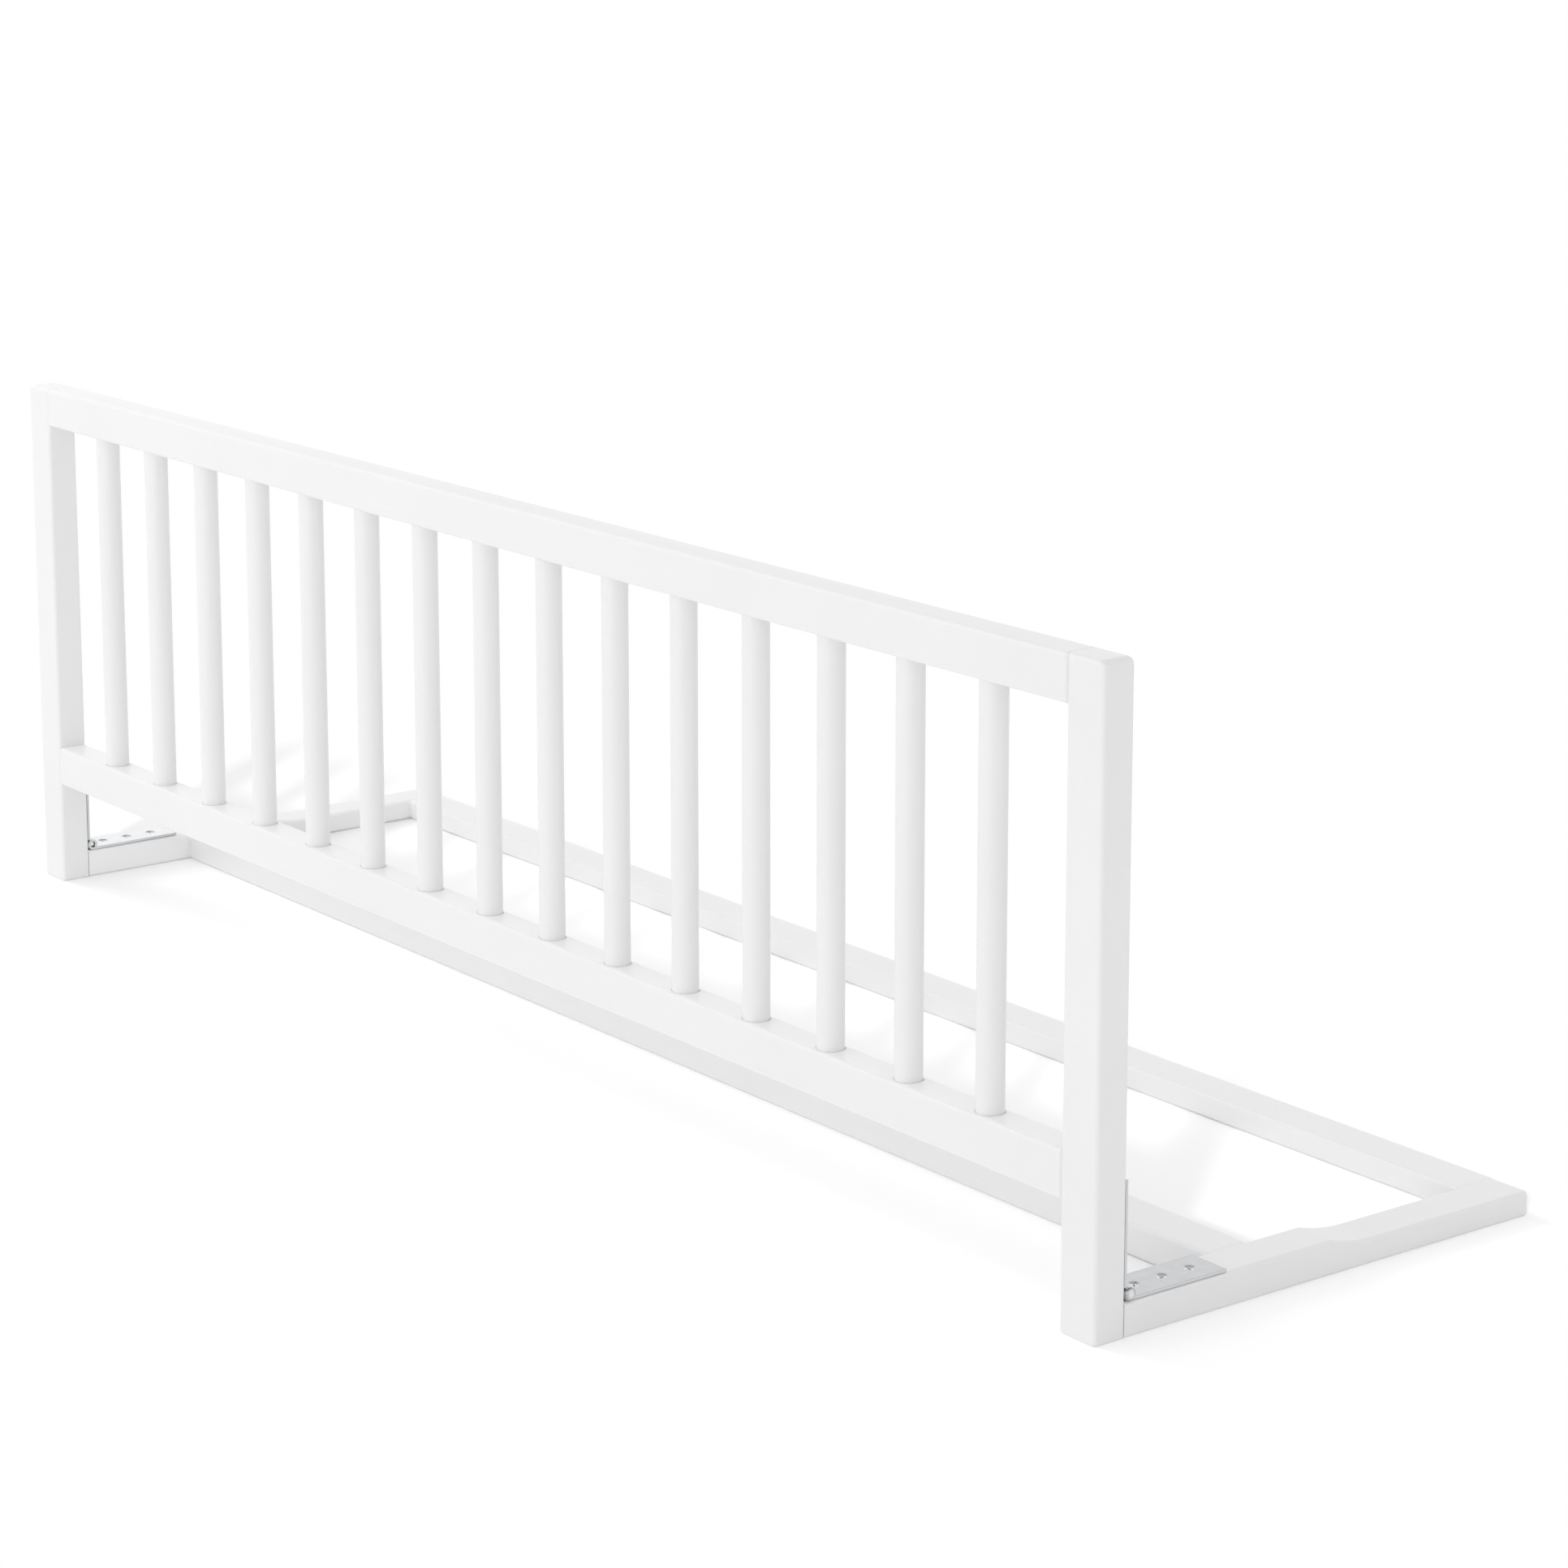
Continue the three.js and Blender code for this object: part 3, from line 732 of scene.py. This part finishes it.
def wood_screw(drive_angle):
    """A countersunk screw, point down along Z with the flat of its head at zero, and its painted shade.

    The head's flat sinks into a cross: for a the larger and b the smaller of |x| and |y|, the depth is the
    full depth times how far a is short of the reach and b of the half width, each held between 0 and 1.
    The thread is a ridge whose radius follows the fraction of height over pitch plus angle over a turn.
    """
    angle = np.linspace(0, 2 * np.pi, screw_sides, endpoint=False)
    out = np.linspace(0, screw_head_radius - head_rim, head_rings)[:, None] + 0 * angle
    larger = np.maximum(np.abs(out * np.cos(angle)), np.abs(out * np.sin(angle)))
    smaller = np.minimum(np.abs(out * np.cos(angle)), np.abs(out * np.sin(angle)))
    floor = np.clip((recess_reach - larger) / recess_run, 0, 1)
    wall = np.clip((recess_half_width - smaller) / recess_draft, 0, 1)
    recess = floor * wall

    head_height = screw_head_radius - screw_thread_radius
    cone_radius = np.array([screw_head_radius, screw_head_radius, screw_core_radius + head_rim])
    cone_height = np.array([-head_rim, -2 * head_rim, -head_height])
    threaded = np.arange(head_height, screw_length, thread_pitch / rows_per_thread)
    threaded = np.append(threaded, screw_length)[:, None] + 0 * angle
    phase = (threaded / thread_pitch + angle / (2 * np.pi)) % 1
    ridge = np.clip(1 - thread_sharpness * np.abs(2 * phase - 1), 0, 1)
    ridge = ridge * np.clip((threaded - head_height - screw_neck_length) / thread_pitch, 0, 1)
    taper = np.sqrt(np.clip((screw_length - threaded) / screw_point_length, 0, 1))
    shank = taper * (screw_core_radius + (screw_thread_radius - screw_core_radius) * ridge)

    radius = np.concatenate([out, cone_radius[:, None] + 0 * angle, shank])
    height = np.concatenate([-recess_depth * recess, cone_height[:, None] + 0 * angle, -threaded])
    turned_on = angle + drive_angle
    dull = np.zeros(radius.shape)
    # Painted shade: the cross recess is painted darker where it is sunk.
    dull[:head_rings] = recess
    return np.stack([radius * np.cos(turned_on), radius * np.sin(turned_on), height], axis=-1), dull.ravel()


for side in ("left", "right"):
    for kind, lie, body in (("base", lie_flat, "base_frame"), ("post", stand_up, "guard_panel")):
        for i, share in enumerate(screw_place_shares):
            node = f"{side}_{kind}_leaf_screw_{i + 1}"
            seat = np.array([0, share * leaf_length[kind], leaf_thickness - knuckle_radius - screw_sunk])
            drive_angle = drive_angles[i + len(screw_place_shares) * (side == "right")]
            centre = sum(corner.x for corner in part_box(f"{side}_hinge_{kind}_leaf")) / 2
            screw, dull = wood_screw(drive_angle)
            placed = axis_place + [centre, 0, 0] + (screw + seat) @ lie
            add_piece(f"screw_{kind}_{side}_{i + 1}", [weave(placed, closed=True)], zinc_drawn, body,
                      node, dull)


# The studio: a matt white floor that runs out into a white surround, so that only the soft shadow near the
# guard shows on it. A camera, a gloss or a glass ray sees the lit white, and the other rays a plain white.

floor_size = 40
floor_white = 0xE4E4E4
shadow_white = 0xD8D8D8
floor_glow = {"left": 0.13, "right": 0.228}
glow_rises = (-0.6, -0.3)
shadow_centre = (-0.1, 0, 0)
shadow_box = (0.7, 0.17, 1)
shadow_reach = (0.075, 0.05, 1)


def seen_directly(tree):
    """1 for rays from the camera, from gloss and through glass, and 0 for the others."""
    path = add_node(tree, "LightPath").outputs
    mirrored = add_node(tree, "Math", {0: path["Is Camera Ray"], 1: path["Is Glossy Ray"]},
                        operation="MAXIMUM").outputs[0]
    return add_node(tree, "Math", {0: mirrored, 1: path["Is Transmission Ray"]},
                    operation="MAXIMUM").outputs[0]


def studio_floor():
    """Painted board, matt white: close to the guard it takes the shadow, and further out it is plain white.

    The shadow's box is the guard's, drawn out to the left. Along X and Y, how far a place is outside it is
    divided by how far the shadow reaches there, and the larger of the two shares is what it fades by. Under
    the shadow the board glows, less so at the left, where the lamps are near.
    """
    material, tree, shader, place = new_material("matt_white_floor")
    shader.inputs["Base Color"].default_value = hex_colour(floor_white)
    shader.inputs["Roughness"].default_value = 1
    shader.inputs["Specular IOR Level"].default_value = 0
    centred = add_node(tree, "VectorMath", {0: place, 1: shadow_centre}, operation="SUBTRACT").outputs[0]
    either_side = add_node(tree, "VectorMath", {0: centred}, operation="ABSOLUTE").outputs[0]
    outside = add_node(tree, "VectorMath", {0: either_side, 1: shadow_box}, operation="SUBTRACT").outputs[0]
    share = add_node(tree, "VectorMath", {0: outside, 1: shadow_reach}, operation="DIVIDE").outputs[0]
    along = add_node(tree, "SeparateXYZ", {0: share}).outputs
    further = add_node(tree, "Math", {0: along["X"], 1: along["Y"]}, operation="MAXIMUM").outputs[0]
    fade = add_node(tree, "MapRange", {"Value": further}, interpolation_type="SMOOTHSTEP").outputs[0]
    shadowed = add_node(tree, "BsdfDiffuse", {"Color": hex_colour(shadow_white)}).outputs[0]
    across = add_node(tree, "SeparateXYZ", {0: place}).outputs["X"]
    glow_level = add_node(tree, "MapRange", {
        "Value": across, "From Min": glow_rises[0], "From Max": glow_rises[1],
        "To Min": floor_glow["left"], "To Max": floor_glow["right"]}).outputs[0]
    glow = add_node(tree, "Emission", {"Strength": glow_level}).outputs[0]
    near = add_node(tree, "AddShader", {0: shadowed, 1: glow}).outputs[0]
    white = add_node(tree, "Emission").outputs[0]
    looked_at = add_node(tree, "MixShader", {0: fade, 1: near, 2: white}).outputs[0]
    mixed = add_node(tree, "MixShader", {0: seen_directly(tree), 1: shader.outputs[0], 2: looked_at})
    tree.links.new(mixed.outputs[0], tree.nodes["Material Output"].inputs["Surface"])
    return material


floor_corners = floor_size / 2 * np.array([[[-1, -1, 0], [1, -1, 0]], [[-1, 1, 0], [1, 1, 0]]])
floor = add_object("floor", [weave(floor_corners)], studio_floor())


# The light: a white surround under a ceiling that gloss sees dimmer, soft lamps in front and over the guard,
# and a faint fill from beside the camera. The other lamps light one thing each: a card the left hinge, a
# hard and a soft lamp the floor with its shadows, and two the bottom rail's top and the base's far bars.

horizon_light = {"diffuse": 0.57, "gloss": 1.15}
ceiling_light = {"diffuse": 0.97, "gloss": 0.6}
ceiling_starts = (math.sin(math.radians(28)), math.sin(math.radians(48)))
lamps = {
    "front_lamp": {"at": (-1.5, -2.6, 1.2), "towards": (-0.1, 0, 0.15), "size": (2.0, 1.2), "watts": 10.4},
    "low_lamp": {"at": (0.7, -2.3, 0.3), "towards": (0.1, 0, 0.1), "size": (1.8, 0.5), "watts": 4.0},
    "over_lamp": {"at": (-0.9, -0.3, 1.2), "towards": (-0.5, 0, 0), "size": (0.7, 0.7), "watts": 1.5},
    "left_card": {"at": (-2.5, 0.91, 0.59), "towards": (-0.585, -0.11, 0.02), "size": (0.5, 0.3),
                  "watts": 0.35, "lights": ("hinge_leaf_base_left", "screw_base_left", "hinge_pin_left")},
}
all_pieces = ("post", "rail", "spindle", "side_bar", "cross_bar", "fluted", "hinge", "screw")
far_bars = ("cross_bar_back", "side_bar_left")
far_lamps = {
    "shadow_lamp": {"way": (-0.566, 0.75, -0.342), "strength": 1.9, "degrees": 4, "lights": "floor"},
    "side_lamp": {"way": (0.82, 0.2, -0.51), "strength": 1.0, "degrees": 30, "lights": "floor"},
    "fill_lamp": {"way": (-0.76, 0.58, -0.3), "strength": 0.2, "degrees": 40, "lights": all_pieces},
    "rail_lamp": {"way": (0, -0.3, -0.95), "strength": 0.24, "degrees": 20, "lights": "rail_bottom"},
    "base_lamp": {"way": (-0.6, 0.78, -0.12), "strength": 0.28, "degrees": 20, "lights": far_bars},
}
unshadowed_lamps = ("rail_lamp", "base_lamp")
far_lamp_mark = (0, 0, 2)

world = bpy.data.worlds.new("studio_surround")
world.use_nodes = True
bpy.context.scene.world = world
world_tree = world.node_tree
surround = world_tree.nodes["Background"]
surround.inputs["Color"].default_value = (1, 1, 1, 1)
ray_way = add_node(world_tree, "TexCoord").outputs["Generated"]
ray_rise = add_node(world_tree, "SeparateXYZ", {0: ray_way}).outputs["Z"]
levels = {}
for seen_by in horizon_light:
    levels[seen_by] = add_node(world_tree, "MapRange", {
        "Value": ray_rise, "From Min": ceiling_starts[0], "From Max": ceiling_starts[1],
        "To Min": horizon_light[seen_by], "To Max": ceiling_light[seen_by]}).outputs[0]
path = add_node(world_tree, "LightPath").outputs
looked_at = add_node(world_tree, "Mix", {0: path["Is Glossy Ray"], 2: 1.0, 3: levels["gloss"]}).outputs[0]
level = add_node(world_tree, "Mix", {0: seen_directly(world_tree), 2: levels["diffuse"],
                                     3: looked_at}).outputs[0]
world_tree.links.new(level, surround.inputs["Strength"])


def add_lamp(name, kind, at, way):
    """A lamp at a place that shines along a way, unseen by the camera."""
    light = bpy.data.lights.new(name, kind)
    lit = bpy.data.objects.new(name, light)
    lit.location = at
    lit.rotation_euler = Vector(way).to_track_quat("-Z", "Y").to_euler()
    lit.visible_camera = False
    bpy.context.scene.collection.objects.link(lit)
    return lit, light


def light_only(lamp, starts, shadowed=True):
    """Lets a lamp light only the objects whose names start so; if unshadowed, no other object blocks it."""
    lit_objects = bpy.data.collections.new(f"{lamp.name}_lights")
    for lit_object in bpy.data.objects:
        if lit_object.type == "MESH" and lit_object.name.startswith(starts):
            lit_objects.objects.link(lit_object)
    lamp.light_linking.receiver_collection = lit_objects
    if not shadowed:
        lamp.light_linking.blocker_collection = lit_objects


for name, lamp in lamps.items():
    lit, light = add_lamp(name, "AREA", lamp["at"], np.subtract(lamp["towards"], lamp["at"]))
    light.shape = "RECTANGLE"
    light.size, light.size_y = lamp["size"]
    light.energy = lamp["watts"]
    if "lights" in lamp:
        light_only(lit, lamp["lights"])

for name, lamp in far_lamps.items():
    lit, light = add_lamp(name, "SUN", far_lamp_mark, lamp["way"])
    light.energy = lamp["strength"]
    light.angle = math.radians(lamp["degrees"])
    light_only(lit, lamp["lights"], name not in unshadowed_lamps)


# The camera stands in front of the guard's right end at about twice its height and looks down a little,
# with its view moved down so that the guard sits where it does in the photograph.

camera_place = (2.1651, -1.5699, 0.8390)
camera_yaw = 0.9197
camera_pitch = 0.1904
camera_lens = 95.09
camera_shift_down = 0.15

camera = bpy.data.objects.new("camera", bpy.data.cameras.new("camera"))
camera.location = camera_place
camera.rotation_euler = (math.pi / 2 - camera_pitch, 0, camera_yaw)
camera.data.lens = camera_lens
camera.data.shift_y = -camera_shift_down
bpy.context.scene.collection.objects.link(camera)
bpy.context.scene.camera = camera
bpy.context.scene.view_settings.view_transform = "Standard"
